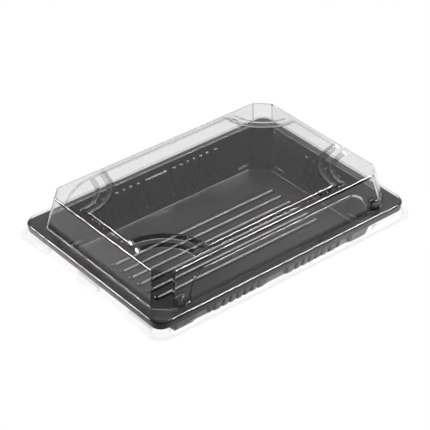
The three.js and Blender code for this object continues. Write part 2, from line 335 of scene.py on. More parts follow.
def scoop_cutter(by):
    """A turned cutter as wide as the scoop; for the inside of the sheet it is wider."""
    profile = [(r + by * SCOOP_WIDER, z - by * SCOOP_LOWER, radius)
               for r, z, radius in SCOOP_PROFILE]
    rings = rounded(profile)
    bpy.ops.object.select_all(action="DESELECT")
    bpy.ops.mesh.primitive_circle_add(
        vertices=SCOOP_FACETS, radius=rings[0].x * MM, fill_type="NGON",
        location=(0, 0, (rings[0].y - HAIR) * MM))
    cutter = settle("scoop")
    edit(cutter)
    bpy.ops.mesh.select_all(action="SELECT")
    for below, above in zip(rings, rings[1:]):
        bpy.ops.mesh.extrude_region_move(
            TRANSFORM_OT_translate={"value": (0, 0, (above.y - below.y) * MM)})
        widen = above.x / below.x
        bpy.ops.transform.resize(value=(widen, widen, 1), center_override=(0, 0, 0))
    bpy.ops.mesh.select_all(action="SELECT")
    bpy.ops.mesh.normals_make_consistent(inside=False)
    done()
    return cutter


print("scoop: ledge", round(LEDGE - SHOULDER, 2), "mm up, panel",
      round(PANEL_TOP - SHOULDER, 2), "mm up")

# %% [markdown]
# ## The raised top panel
# The middle of the top is pressed up a couple of millimetres as a plain slab with a small
# round at its foot. The four scoops are cut out of it, and then its top edge is rounded with
# one bevel, so that the rounding follows the straight sides and the arcs alike.

# %% Panel plug
PANEL = (76.8, 48.31)
PANEL_SPREAD = 0.56  # how much further out the step's foot lies than its top
PANEL_ROUND = 1.0
PANEL_FOOT = 0.1
FOOT_SLOPE = 70  # degrees, where the foot's rounding meets the step
PANEL_ROOT = 1
FOOT_EASE, TOP_EASE = 0.4, 0.6  # change of the two roundings for each millimetre inside


def panel_plug(by):
    """The slab with its four scoops, from inside the dome to the very top."""
    foot = arc(PANEL_FOOT + by * FOOT_EASE, 0, FOOT_SLOPE, facets=4)
    spread, rise = sum(i for i, u in foot), sum(u for i, u in foot)
    wall = PANEL_TOP - SHOULDER - rise
    half = grown(PANEL, spread + PANEL_SPREAD - by)
    slab = blank("panel", half, SHOULDER - by - PANEL_ROOT)
    edit(slab)
    bpy.ops.mesh.select_all(action="SELECT")
    step(slab, 0, PANEL_ROOT)
    climb(slab, foot)
    step(slab, PANEL_SPREAD, wall)
    done()
    cutter = scoop_cutter(by)
    places = [(sx * PANEL[0], sy * PANEL[1], 0) for sx in (-1, 1) for sy in (-1, 1)]
    combine(slab, [turned(cutter, 0, place) for place in places], "DIFFERENCE")
    bpy.data.meshes.remove(cutter.data)
    edit(slab)
    top = PANEL_TOP - by
    pick(slab, "faces", lambda m, n: n.z > 0.99 and abs(m.z - top) < HAIR)
    bpy.ops.mesh.dissolve_faces()
    pick(slab, "edges", lambda m, n: abs(m.z - top) < HAIR / 2 and abs(n.z) < 0.01)
    bpy.ops.mesh.bevel(offset=(PANEL_ROUND - by * TOP_EASE) * MM, segments=6, affect="EDGES")
    done()
    return slab


print("panel:", 2 * PANEL[0], "by", 2 * PANEL[1], "mm")

# %% [markdown]
# ## Label panels
# Each long wall carries a flat panel that stands just proud of it, with a quarter ellipse
# at each end. A filled circle pulled apart at its middle makes its outline in one move. It
# is made lying down, where an extrusion and a few insets finish it, and then stood against
# the wall.

# %% Label panel
LABEL_HALF = 52  # from the middle to where an end begins
LABEL_END = 14
LABEL_TOP = 39.6
LABEL_PROUD = 0.9
LABEL_ROUND = 0.7
LABEL_DEPTH = 8  # how far it reaches back into the dome
LABEL_ROOT = 1  # how far it reaches down into the rim


def wall_y(z):
    """How far out the long wall of the dome stands at height z."""
    return DOME_FOOT[1] + (DOME_TOP[1] - DOME_FOOT[1]) * (z - RIM_TOP) / (SHOULDER - RIM_TOP)


def label_plug(by):
    """The label panel of the front wall."""
    bpy.ops.object.select_all(action="DESELECT")
    bpy.ops.mesh.primitive_circle_add(vertices=64, radius=1, fill_type="NGON")
    panel = bpy.context.active_object
    panel.scale = ((LABEL_END - by) * MM, (LABEL_TOP - RIM_TOP - by) * MM, 1)
    panel = settle("label")
    edit(panel)
    for side in (-1, 1):
        pick(panel, "verts", lambda m, n: m.x * side > 0.01)
        bpy.ops.transform.translate(value=(side * LABEL_HALF * MM, 0, 0))
    bpy.ops.mesh.select_all(action="SELECT")
    bpy.ops.mesh.bisect(
        plane_co=(0, -LABEL_ROOT * MM, 0), plane_no=(0, 1, 0), clear_inner=True)
    pick(panel, "faces", lambda m, n: True)
    bpy.ops.mesh.extrude_region_move(
        TRANSFORM_OT_translate={"value": (0, 0, LABEL_DEPTH * MM)})
    for inward, up in arc(LABEL_ROUND, 90, 0, facets=5):
        bpy.ops.mesh.inset(thickness=inward * MM, depth=up * MM, use_even_offset=True)
    done()
    lean = math.atan2(DOME_FOOT[1] - DOME_TOP[1], SHOULDER - RIM_TOP)
    stand = Matrix.Rotation(math.pi / 2, 4, "X")
    depth = LABEL_DEPTH + LABEL_ROUND - (LABEL_PROUD - by)
    panel.matrix_world = (
        Matrix.Translation(Vector((0, -wall_y(RIM_TOP), RIM_TOP)) * MM)
        @ Matrix.Rotation(-lean, 4, "X") @ stand
        @ Matrix.Translation((0, 0, -depth * MM))
    )
    only(panel)
    bpy.ops.object.transform_apply(location=True, rotation=True, scale=True)
    return panel


print("label panel:", 2 * (LABEL_HALF + LABEL_END), "mm long,", LABEL_PROUD, "mm proud")

# %% [markdown]
# ## Stacking lugs
# On the front wall a small lug stands beyond each end of the label panel and keeps nested
# lids from sticking together. It is half of an upright oval post. A whole post, its top
# rounded with insets, is quickest, because the dome swallows the other half.

# %% Lug
LUG_AT = 72
LUG_RADIUS = 3.75
LUG_REACH = 2.3
LUG_TOP = 30.2
LUG_ROUND = 0.8
LUG_ROOT = 1.5
LUG_STAND = 3  # height above the rim where the post's middle lies on the wall


def lug_plug(by):
    """An oval post at the origin, from inside the rim to the lug's top."""
    middle = (RIM_TOP - LUG_ROOT + LUG_TOP - LUG_ROUND) / 2
    tall = LUG_TOP - LUG_ROUND - RIM_TOP + LUG_ROOT
    bpy.ops.object.select_all(action="DESELECT")
    bpy.ops.mesh.primitive_cylinder_add(
        vertices=40, radius=1, depth=1, location=(0, 0, middle * MM))
    lug = bpy.context.active_object
    lug.scale = ((LUG_RADIUS - by) * MM, (LUG_REACH - by) * MM, tall * MM)
    lug = settle("lug")
    edit(lug)
    pick(lug, "faces", lambda m, n: n.z > 0.9)
    for inward, up in arc(LUG_ROUND, 90, 0, facets=4):
        bpy.ops.mesh.inset(thickness=inward * MM, depth=up * MM, use_even_offset=True)
    bpy.ops.mesh.select_all(action="SELECT")
    bpy.ops.transform.translate(value=(0, 0, -by * MM))
    done()
    return lug


print("lugs:", round(LUG_TOP - RIM_TOP, 2), "mm tall, at x =", (-LUG_AT, LUG_AT))

# %% [markdown]
# ## Hook notches
# Short notches are pressed into the skirt. They catch under the tray's rim, so the lid
# holds. One wedge, copied round the rim, cuts them all. Inside the sheet the wedge is one
# sheet larger all round, so the notch keeps its thickness.

# %% Hook wedges
HOOK_LENGTH = 20
HOOK_DEPTH = 1.8
HOOK_TOP = 18
HOOK_FOOT = FLANGE_TOP + 0.1
HOOK_EDGE = HOOK_FOOT + 1.45  # height of the deepest line
HOOK_NOSE, NOSE_GROWTH = 0.6, 1.24  # its height, and what each millimetre inside adds
HOOK_TAPER = 0.9  # length of the deepest line as a share of the notch
HOOK_CLEAR = 1  # how far the wedge stands out of the skirt
HOOKS_LONG = (-74.5, -26, 26, 74.5)
HOOKS_SHORT = (-46.5, 0, 46.5)


def block(name, low, high):
    """A box between two corners given in millimetres."""
    bpy.ops.object.select_all(action="DESELECT")
    middle = [(a + b) / 2 * MM for a, b in zip(low, high)]
    size = [(b - a) * MM for a, b in zip(low, high)]
    bpy.ops.mesh.primitive_cube_add(size=1, location=middle, scale=size)
    return settle(name)


def merged(things):
    """Several separate solids as one object."""
    bpy.ops.object.select_all(action="DESELECT")
    for thing in things:
        thing.select_set(True)
    bpy.context.view_layer.objects.active = things[0]
    bpy.ops.object.join()
    return things[0]


def hook_wedge(by):
    """A wedge across the skirt's outside; its inner edge is the deepest part."""
    half = HOOK_LENGTH / 2 + by
    low = (-half, FLARE - by, HOOK_FOOT - by)
    wedge = block("hook", low, (half, FLARE + HOOK_CLEAR, HOOK_TOP + by))
    edit(wedge)
    pick(wedge, "faces", lambda m, n: n.y < -0.9)
    bpy.ops.mesh.extrude_region_move(
        TRANSFORM_OT_translate={"value": (0, -(HOOK_DEPTH + FLARE) * MM, 0)})
    bpy.ops.transform.translate(value=(0, 0, (HOOK_EDGE - (HOOK_TOP + HOOK_FOOT) / 2) * MM))
    thin = (HOOK_NOSE + by * NOSE_GROWTH) / (HOOK_TOP - HOOK_FOOT + 2 * by)
    bpy.ops.transform.resize(
        value=(HOOK_TAPER, 1, thin), center_override=(0, 0, HOOK_EDGE * MM))
    done()
    return wedge


def all_hooks(by):
    """The wedges of all four sides as one cutter."""
    wedge = hook_wedge(by)
    copies = []
    for quarters, reach, places in ((0, RIM[1], HOOKS_LONG), (2, RIM[1], HOOKS_LONG),
                                    (1, RIM[0], HOOKS_SHORT), (3, RIM[0], HOOKS_SHORT)):
        copies += [turned(wedge, quarters, (at, reach, 0)) for at in places]
    bpy.data.meshes.remove(wedge.data)
    return merged(copies)


print("hook notches:", 2 * len(HOOKS_LONG + HOOKS_SHORT), "each", HOOK_LENGTH, "mm long")

# %% [markdown]
# ## The lid as one thin shell
# All the plugs join into one solid, once for the outside and once a sheet smaller for the
# inside. Taking the second from the first leaves the formed sheet, of even thickness, open
# at the bottom. A Solidify modifier could thicken one surface instead, but it folds over
# itself in corners as tight as these.

# %% Lid shell
def lid_plug(by):
    """The whole lid as a solid, `by` inside its outer face."""
    body = rim_plug(by)
    label = label_plug(by)
    lug = lug_plug(by)
    raised = [dome_plug(by), panel_plug(by), turned(label, 2), label]
    lug_y = wall_y(RIM_TOP + LUG_STAND)
    raised += [turned(lug, 2, (x, lug_y, 0)) for x in (-LUG_AT, LUG_AT)]
    bpy.data.meshes.remove(lug.data)
    combine(body, raised, "UNION")
    return combine(body, [all_hooks(by)], "DIFFERENCE")


def cleaned(thing, name):
    """Welds stray points and joins the slivers of each flat into one face."""
    thing.name = thing.data.name = name
    edit(thing)
    bpy.ops.mesh.select_all(action="SELECT")
    bpy.ops.mesh.remove_doubles(threshold=0.002 * MM)
    bpy.ops.mesh.dissolve_limited(angle_limit=math.radians(0.5))
    done()
    return thing


def size_of(thing):
    """The low corner, the high corner and the number of faces of a piece."""
    points = [v.co / MM for v in thing.data.vertices]
    low = [round(min(p[i] for p in points), 2) for i in range(3)]
    high = [round(max(p[i] for p in points), 2) for i in range(3)]
    return low, high, len(thing.data.polygons)


lid = combine(lid_plug(0), [lid_plug(SHEET)], "DIFFERENCE")
cleaned(lid, "clear_lid")
print("lid", size_of(lid))

# %% [markdown]
# ## The tray's hollow
# The tray is a hollow with sloping walls, cut corners and a floor that is raised a little
# inside a narrow foot channel. It is stepped down from its opening, because it is widest
# there. The cut corners are drawn into small flutes, which stiffen the thin sheet.

# %% Fluted opening
TRAY_SHEET = 0.5
LID_GAP = 0.3
TRAY_TOP = RIM_TOP - SHEET - LID_GAP
OPENING = (86.4, 58.4)
OPENING_CUT = 11  # leg of a cut corner
CUT_GROWTH = 0.6  # what each millimetre further out adds to that leg
FLUTES = 8
FLUTE_DEPTH = 0.3


def flute_corners(plug, leg, half):
    """Cuts the blank's corners and pulls every other point of each cut outwards."""
    corners(leg, 1)
    pick(plug, "edges", lambda m, n: abs(n.x) > 0.1 and abs(n.y) > 0.1)
    bpy.ops.mesh.subdivide(number_cuts=FLUTES - 1)

    def odd_point(m, n):
        along = (half[0] - abs(m.x)) / leg * FLUTES
        on_cut = abs(abs(m.x) + abs(m.y) - half[0] - half[1] + leg) < 0.05
        return on_cut and round(along) % 2 == 1

    for sx in (-1, 1):
        for sy in (-1, 1):
            pick(plug, "verts", lambda m, n: m.x * sx > 0 and m.y * sy > 0 and odd_point(m, n))
            bpy.ops.transform.translate(value=(sx * FLUTE_DEPTH * MM, sy * FLUTE_DEPTH * MM, 0))


print("opening:", 2 * OPENING[0], "by", 2 * OPENING[1], "mm,", FLUTES // 2, "flutes a corner")

# %% [markdown]
# ## The tray's walls and floor
# From the opening the wall runs over a rounded lip, down to a crease and on to a rounded
# foot. The channel round the floor is what the tray stands on, and the floor inside it is
# lifted on a soft ramp. Each of these is one more step of the same face.

# %% Wall plug
LIP_ROUND, LIP_SLOPE = 1.2, 65
OPEN_ABOVE = 2  # how far above the rim the hollow starts, to cut it open
UNDER_RIM = 0.2  # how far below the rim's top the outside starts
CREASE = (8.2, 5.6)  # inset and height of the crease low on the wall
WALL_SLOPE = 0.5  # inset for each millimetre down, below the crease
WALL_FOOT_ROUND, WALL_FOOT_SLOPE = 0.8, 63
CHANNEL = 0.5
PLATEAU_EDGE = 15.0  # inset of the foot of the ramp
PLATEAU_RISE = 0.8
PLATEAU_ROUND = 0.6


def wall_plug(by):
    """The hollow from its opening down; `by` is the sheet for the outside of the wall."""
    lip = [] if by else [(i, -u) for i, u in arc(LIP_ROUND, 0, LIP_SLOPE, facets=4)]
    spread = sum(i for i, u in lip)
    top = TRAY_TOP - UNDER_RIM if by else TRAY_TOP + OPEN_ABOVE
    half = grown(OPENING, by + spread)
    plug = blank("hollow", half, top)
    edit(plug)
    flute_corners(plug, OPENING_CUT + by * CUT_GROWTH, half)
    bpy.ops.mesh.select_mode(type="FACE")
    bpy.ops.mesh.select_all(action="SELECT")
    bpy.ops.mesh.flip_normals()
    if not by:
        step(plug, 0, TRAY_TOP - top)
    climb(plug, lip)
    depth = top if by else TRAY_TOP + sum(u for i, u in lip)
    step(plug, CREASE[0], CREASE[1] - depth)
    foot_round = arc(WALL_FOOT_ROUND, WALL_FOOT_SLOPE, 0, facets=4)
    drop = CREASE[1] - (CHANNEL - by) - sum(u for i, u in foot_round)
    step(plug, drop * WALL_SLOPE, -drop)
    climb(plug, foot_round, -1)
    inset = CREASE[0] + drop * WALL_SLOPE + sum(i for i, u in foot_round)
    step(plug, PLATEAU_EDGE + by - inset, 0)
    ramp = arc(PLATEAU_ROUND, 0, 45, facets=3) + arc(PLATEAU_ROUND, 45, 0, facets=3)
    climb(plug, ramp)
    rise = sum(u for i, u in ramp)
    step(plug, HAIR, PLATEAU_RISE - rise)
    done()
    return plug


print("well:", round(TRAY_TOP - CHANNEL, 2), "mm deep at the channel, floor",
      PLATEAU_RISE, "mm higher")

# %% [markdown]
# ## Bands and bays
# A band is pressed out of each wall. Beyond its ends, near each corner, is a narrow bay that
# starts lower down. Both are boxes whose back leans with the wall, so one helper makes them
# from two lists of sizes. They widen the hollow.

# %% Recess
BAND = {"foot": 4, "top": 22.2, "inset_foot": 6.5, "inset_top": 0.5, "draft": 0.2}
BAY = {"foot": 2.4, "top": 22, "inset_foot": 7.8, "inset_top": 0.7, "draft": 0.8}
RECESS_REACH = 22  # how far a recess reaches in from the opening's edge
RECESS_ROUND, RECESS_FOOT_ROUND = 0.8, 0.5
BACK_ZONE = 15  # edges this near the opening's edge belong to a recess's back


def recess(by, size, half, depth):
    """A hollow pressed out through the back wall, where the opening is `depth` deep."""
    foot, top = size["foot"] - by, size["top"]
    outer = depth - size["inset_foot"] + by
    wide = half + by
    hollow = block("recess", (-wide, depth - RECESS_REACH, foot), (wide, outer, top))
    edit(hollow)
    pick(hollow, "verts", lambda m, n: m.z > top - 0.1 and m.y > outer - 0.1)
    bpy.ops.transform.translate(value=(0, (size["inset_foot"] - size["inset_top"]) * MM, 0))
    pick(hollow, "verts", lambda m, n: m.z < foot + 0.1)
    narrow = (wide - size["draft"]) / wide
    bpy.ops.transform.resize(value=(narrow, 1, 1), center_override=(0, 0, 0))
    pick(hollow, "edges", lambda m, n: m.y > depth - BACK_ZONE and abs(m.x) > 1 and abs(n.z) > 0.5)
    bpy.ops.mesh.bevel(offset=(RECESS_ROUND + by) * MM, segments=4, affect="EDGES")
    pick(hollow, "edges", lambda m, n: m.z < foot + 0.1 and m.y > depth - RECESS_REACH + 1)
    bpy.ops.mesh.bevel(offset=(RECESS_FOOT_ROUND + by) * MM, segments=3, affect="EDGES")
    done()
    return hollow


print("band", BAND["top"] - BAND["foot"], "mm tall, bay", BAY["top"] - BAY["foot"], "mm tall")

# %% [markdown]
# ## Ribs
# Narrow ribs are left standing in each band, with a wider panel in the middle of the long
# sides. From inside, a rib is a post with a small sloping ledge on top. It is built as a
# post and taken back out of the hollow.

# %% Rib
RIB_FOOT, RIB_TOP = 2, 18.8
RIB_INSET_FOOT, RIB_INSET_TOP = 9.7, 3
RIB_HALF, END_RIB_HALF = 1.7, 2.0
RIB_DRAFT = 0.15
RIB_BACK = 3  # how far a rib reaches out beyond the opening's edge
RIB_ROUND, RIB_TOP_ROUND = RIB_HALF * 0.75, 0.7
LEDGE_FALL = 0.42  # how steeply the small ledge on a rib falls towards the food


def rib(by, half, depth):
    """A rib left standing, seen from inside as a narrow post with a small ledge on top."""
    lean = (RIB_INSET_FOOT - RIB_INSET_TOP) / (RIB_TOP - RIB_FOOT)
    top = RIB_TOP - by
    foot_y = depth - RIB_INSET_FOOT + by
    wide = half + RIB_DRAFT - by
    post = block("rib", (-wide, foot_y, RIB_FOOT), (wide, depth + RIB_BACK, top))
    edit(post)
    pick(post, "verts", lambda m, n: m.z > top - 0.1 and m.y < foot_y + 0.1)
    bpy.ops.transform.translate(value=(0, lean * (top + by - RIB_FOOT) * MM, 0))
    pick(post, "verts", lambda m, n: m.z > top - 0.1)
    bpy.ops.transform.resize(value=((half - by) / wide, 1, 1), center_override=(0, 0, 0))
    pick(post, "verts", lambda m, n: m.z > top - 0.1 and m.y > depth)
    bpy.ops.transform.translate(value=(0, 0, LEDGE_FALL * (RIB_INSET_TOP + RIB_BACK) * MM))
    pick(post, "edges", lambda m, n: m.y < depth and abs(m.x) > 0.1 and abs(n.z) > 0.5)
    bpy.ops.mesh.bevel(offset=(RIB_ROUND - by) * MM, segments=5, affect="EDGES")
    pick(post, "edges", lambda m, n: m.z > top - 0.05 and m.y < depth + RIB_BACK - 0.1)
    bpy.ops.mesh.bevel(offset=(RIB_TOP_ROUND - by) * MM, segments=4, affect="EDGES")
    done()
    return post


print("rib:", 2 * RIB_HALF, "mm wide,", RIB_TOP - RIB_FOOT, "mm tall")

# %% [markdown]
# ## One wall and its copies
# The two long walls are alike, and so are the two short ones. The pieces of one kind of wall
# are modelled once, spread along it at an even pitch and turned to both its sides.

# %% Band, bays and ribs of one wall
LONG_WALL = {"half": 48.4, "first": 14, "pitch": 5.15, "count": 6, "end": 46.35, "panel": 8.7,
             "bay_at": 64.9, "bay_half": 7.4}
SHORT_WALL = {"half": 16.3, "first": 2.65, "pitch": 5.3, "count": 2, "end": 14.3, "panel": 0,
              "bay_at": 33.3, "bay_half": 6.0}


def wall_details(by, wall, depth, quarters):
    """The hollows and the ribs of one kind of wall, placed on both its sides."""
    band = recess(by, BAND, wall["half"], depth)
    bay = recess(by, BAY, wall["bay_half"], depth)
    post, end_post = rib(by, RIB_HALF, depth), rib(by, END_RIB_HALF, depth)
    places = [wall["first"] + i * wall["pitch"] for i in range(wall["count"])]
    hollows, ribs = [], []
    for q in quarters:
        hollows.append(turned(band, q))
        for side in (-1, 1):
            hollows.append(turned(bay, q, (side * wall["bay_at"], 0, 0)))
            ribs += [turned(post, q, (side * at, 0, 0)) for at in places]
            ribs.append(turned(end_post, q, (side * wall["end"], 0, 0)))
    models = [band, bay, post, end_post]
    if wall["panel"]:
        panel = rib(by, wall["panel"], depth)
        ribs += [turned(panel, q) for q in quarters]
        models.append(panel)
    for model in models:
        bpy.data.meshes.remove(model.data)
    return hollows, ribs


print("ribs a wall:", [2 * (wall["count"] + 1) for wall in (LONG_WALL, SHORT_WALL)])

# %% [markdown]
# ## Floor ridges
# Six long ridges stand on the floor and keep the food off it. One is modelled, with its
# ends rounded, and copied across.

# %% Ridges
RIDGE_HALF = (62, 2.9)
RIDGE_PITCH = 8
RIDGE_COUNT = 6
RIDGE_ROUND = 3
RIDGE_SLOPE = 60  # degrees, where the ridge leaves the floor
RIDGE_ROOT = 0.6  # how far below the tray's foot a ridge starts
HOLLOW_NARROWER = 0.58  # for each millimetre of sheet
HOLLOW_STEP = (0.29, 0.5)  # inset and height of a hollow's foot, for each millimetre of sheet


def ridges(by):
    """The ridges from above, or, with `by`, the hollows under them."""
    floor_z = CHANNEL + PLATEAU_RISE - by
    bpy.ops.object.select_all(action="DESELECT")
    bpy.ops.mesh.primitive_circle_add(
        vertices=32, radius=(RIDGE_HALF[1] - by * HOLLOW_NARROWER) * MM, fill_type="NGON",
        location=(0, 0, -RIDGE_ROOT * MM))
    ridge = settle("ridge")
    edit(ridge)
    for side in (-1, 1):
        pick(ridge, "verts", lambda m, n: m.x * side > 0.01)
        bpy.ops.transform.translate(value=(side * (RIDGE_HALF[0] - RIDGE_HALF[1]) * MM, 0, 0))
    pick(ridge, "faces", lambda m, n: True)
    step(ridge, 0, floor_z + RIDGE_ROOT)
    foot = [(by * HOLLOW_STEP[0], by * HOLLOW_STEP[1])] if by else []
    for inward, up in foot + arc(RIDGE_ROUND - by, RIDGE_SLOPE, 0, facets=8):
        bpy.ops.mesh.inset(thickness=inward * MM, depth=up * MM, use_even_offset=True)
    done()
    first = -(RIDGE_COUNT - 1) / 2 * RIDGE_PITCH
    copies = [turned(ridge, 0, (0, first + i * RIDGE_PITCH, 0)) for i in range(RIDGE_COUNT)]
    bpy.data.meshes.remove(ridge.data)
    return merged(copies)


print("ridges:", RIDGE_COUNT, "each", 2 * RIDGE_HALF[0], "mm long")

# %% [markdown]
# ## The tray's rim
# The sheet turns out flat round the opening and down again in a short skirt, which the lid
# grips. It is a cap over the opening, like the lid's rim.

# %% Rim of the tray
TRAY_RIM = (91.5, 62.84)
TRAY_CORNER = 6.5
TRAY_SKIRT_FOOT = 18.6
TRAY_EDGE_EASE = 0.9  # what each millimetre inside takes off the edge's rounding


def tray_rim():
    """The rim and its skirt, closed over the opening."""
    caps = []
    for by in (0, TRAY_SHEET):
        cap = blank("tray_rim", grown(TRAY_RIM, -by), TRAY_SKIRT_FOOT - by)
        edit(cap)
        corners(TRAY_CORNER - by, ROUND)
        edge = arc(EDGE - by * TRAY_EDGE_EASE, 90, 0, EDGE_FACETS)
        step(cap, 0, TRAY_TOP - by - (TRAY_SKIRT_FOOT - by) - sum(u for i, u in edge))
        climb(cap, edge)
        done()
        caps.append(cap)
    return combine(caps[0], [caps[1]], "DIFFERENCE")


print("tray rim:", round(TRAY_RIM[0] - OPENING[0], 2), "mm wide, skirt",
      round(TRAY_TOP - TRAY_SKIRT_FOOT, 2), "mm tall")

# %% [markdown]
# ## The tray as one thin shell
# As with the lid, the outside and the inside are built as solids and subtracted. The ridges
# are pressed up from below, so their undersides are hollow too.

# %% Tray shell
def tray_skin(by):
    """The tray's hollow with its bands, bays and ribs, `by` outside its inner face."""
    body = wall_plug(by)
    long_hollows, long_ribs = wall_details(by, LONG_WALL, OPENING[1], (0, 2))
    short_hollows, short_ribs = wall_details(by, SHORT_WALL, OPENING[0], (1, 3))
    combine(body, long_hollows + short_hollows, "UNION")
    return combine(body, [merged(long_ribs + short_ribs)], "DIFFERENCE")


tray = combine(tray_skin(TRAY_SHEET), [tray_rim()], "UNION")
inside = combine(tray_skin(0), [ridges(0)], "DIFFERENCE")
combine(tray, [inside, ridges(TRAY_SHEET)], "DIFFERENCE")
cleaned(tray, "black_tray")
print("tray", size_of(tray))

# %% [markdown]
# ## Uneven gloss and ripple
# No formed sheet is quite even. Its gloss changes slowly from place to place, and its face
# ripples a little. Both come from noise on the piece's own coordinates, so that they stay on
# the plastic when the view changes. A painted map would do the same with far more work.

# %% Material helpers
def material(name):
    """A new material with its nodes, its links, its shader and its coordinates."""
    made = bpy.data.materials.new(name)
    made.use_nodes = True
    nodes, links = made.node_tree.nodes, made.node_tree.links
    return made, nodes, links, nodes["Principled BSDF"], nodes.new("ShaderNodeTexCoord")


def noise_into(nodes, links, coords, socket, scale, detail, low, high):
    """Slow noise on object coordinates, mapped between two values into one socket."""
    noise = nodes.new("ShaderNodeTexNoise")
    noise.inputs["Scale"].default_value = scale
    noise.inputs["Detail"].default_value = detail
    span = nodes.new("ShaderNodeMapRange")
    span.inputs["To Min"].default_value = low
    span.inputs["To Max"].default_value = high
    links.new(coords.outputs["Object"], noise.inputs["Vector"])
    links.new(noise.outputs["Fac"], span.inputs["Value"])
    links.new(span.outputs["Result"], socket)


def ripple(nodes, links, coords, shader, scale, detail, distance):
    """A bump of this many metres from noise of this scale."""
    noise = nodes.new("ShaderNodeTexNoise")
    noise.inputs["Scale"].default_value = scale
    noise.inputs["Detail"].default_value = detail
    bump = nodes.new("ShaderNodeBump")
    bump.inputs["Strength"].default_value = 1.0
    bump.inputs["Distance"].default_value = distance
    links.new(coords.outputs["Object"], noise.inputs["Vector"])
    links.new(noise.outputs["Fac"], bump.inputs["Height"])
    links.new(bump.outputs["Normal"], shader.inputs["Normal"])


# %% [markdown]
# ## Clear sheet
# The lid is clear polyester sheet about half a millimetre thick, drawn with an inner and an
# outer face. It could be glass all over, but then each lamp has to find its way through two
# refracting faces, and the tray comes out dull and grainy. A flat stretch of thin sheet
# hardly shifts what is behind it. So the flats let light straight through and mirror some of
# it, by Fresnel at each face, and only the tight bends are refracting glass, which gives
# them their bright and dark lines. That glass is tinted grey as well, a painted shade that
# makes the dark lines along the bends darker. A ray inside the sheet meets its second face
# from behind, so the index is turned over there. Formed sheet is never quite flat or clean:
# a slow ripple bends the mirrored light a little and a faint uneven haze follows it.

# %% Clear polyester
SHEET_INDEX = 1.5
BEND_PAINTED_SHADE = (0.7, 0.7, 0.7, 1)  # painted shade: the bends' glass lets only 0.7 of the light through, to darken their lines
PANE_TINT = (0.998, 0.998, 0.998, 1)
clear, nodes, links, shader, coords = material("clear_polyester")
# painted shade: the bends' glass is tinted grey to darken the lines along the bends
shader.inputs["Base Color"].default_value = BEND_PAINTED_SHADE
shader.inputs["Transmission Weight"].default_value = 1
shader.inputs["IOR"].default_value = SHEET_INDEX
gloss = nodes.new("ShaderNodeBsdfAnisotropic")
through = nodes.new("ShaderNodeBsdfTransparent")
through.inputs["Color"].default_value = PANE_TINT
pane = nodes.new("ShaderNodeMixShader")
mirror = nodes.new("ShaderNodeFresnel")
side = nodes.new("ShaderNodeNewGeometry")
index = nodes.new("ShaderNodeMapRange")
index.inputs["To Min"].default_value = SHEET_INDEX
index.inputs["To Max"].default_value = 1 / SHEET_INDEX
links.new(side.outputs["Backfacing"], index.inputs["Value"])
links.new(index.outputs["Result"], mirror.inputs["IOR"])
links.new(mirror.outputs["Fac"], pane.inputs["Fac"])
links.new(through.outputs["BSDF"], pane.inputs[1])
links.new(gloss.outputs["BSDF"], pane.inputs[2])

bend = nodes.new("ShaderNodeAttribute")
bend.attribute_name = "bend"
sheet = nodes.new("ShaderNodeMixShader")
links.new(bend.outputs["Fac"], sheet.inputs["Fac"])
links.new(pane.outputs["Shader"], sheet.inputs[1])
links.new(shader.outputs["BSDF"], sheet.inputs[2])
links.new(sheet.outputs["Shader"], nodes["Material Output"].inputs["Surface"])
noise_into(nodes, links, coords, gloss.inputs["Roughness"],
           scale=90, detail=3, low=0.0, high=0.02)
noise_into(nodes, links, coords, shader.inputs["Roughness"],
           scale=90, detail=3, low=0.0, high=0.012)
ripple(nodes, links, coords, gloss, scale=45, detail=1, distance=0.000002)
print("clear sheet: index", SHEET_INDEX, "nodes", len(nodes))

# %% [markdown]
# ## Black sheet
# The tray is black polystyrene. It is less polished than the lid: glints on it are soft,
# and the sheet has a very fine grain from the mould.

# %% Tray material
black, nodes, links, shader, coords = material("black_polystyrene")
shader.inputs["Base Color"].default_value = (0.004, 0.004, 0.004, 1)
shader.inputs["IOR"].default_value = 1.5
noise_into(nodes, links, coords, shader.inputs["Roughness"],
           scale=160, detail=4, low=0.28, high=0.38)
ripple(nodes, links, coords, shader, scale=900, detail=2, distance=0.000004)
print("black sheet: nodes", len(nodes))

# %% [markdown]
# ## Smooth shading
# Both pieces are shaded smooth up to a crisp angle, and each vertex leans towards its
# largest face, so the flats stay flat. Shading by angle alone would bend the light on every
# flat that meets a rounding.

# %% Shade and hand over
CRISP = math.radians(40)


def shade(piece):
    """Smooth shading that keeps the flats true."""
    only(piece)
    bpy.ops.object.shade_smooth_by_angle(angle=CRISP)
    flats = piece.modifiers.new("true_flats", "WEIGHTED_NORMAL")
    flats.mode = "FACE_AREA"
    flats.weight = 100
    flats.keep_sharp = True
    bpy.ops.object.modifier_apply(modifier=flats.name)


for piece, finish, slot, node in ((lid, clear, "lid_plastic", "lid"),
                                  (tray, black, "tray_plastic", "tray")):
    piece.data.materials.clear()
    piece.data.materials.append(finish)
    shade(piece)
    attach(piece, "root")
    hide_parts(node)
    print(piece.name, "stands for", node)

# %% [markdown]
# ## Marking the bends
# The clear sheet needs to know where it is bent. Where a face still turns at a corner after
# the shading it is part of a bend, and so is a scoop's slope. The skirt and the panel's long
# straight steps are left out: there a ray could enter through a bend and leave through a
# flat. Painting the bends by hand would give the same marks, face by face.

# %% Bends of the lid
TURN = math.radians(1.5)  # a corner that turns more than this belongs to a bend
SKIRT_TOP = RIM_TOP - EDGE - 0.3
STEP_NEAR = 2.2  # how near the panel's outline a face of its step lies
SCOOP_TILT = (0.8, 0.975)  # how far the scoops' slopes face upwards, from least to most


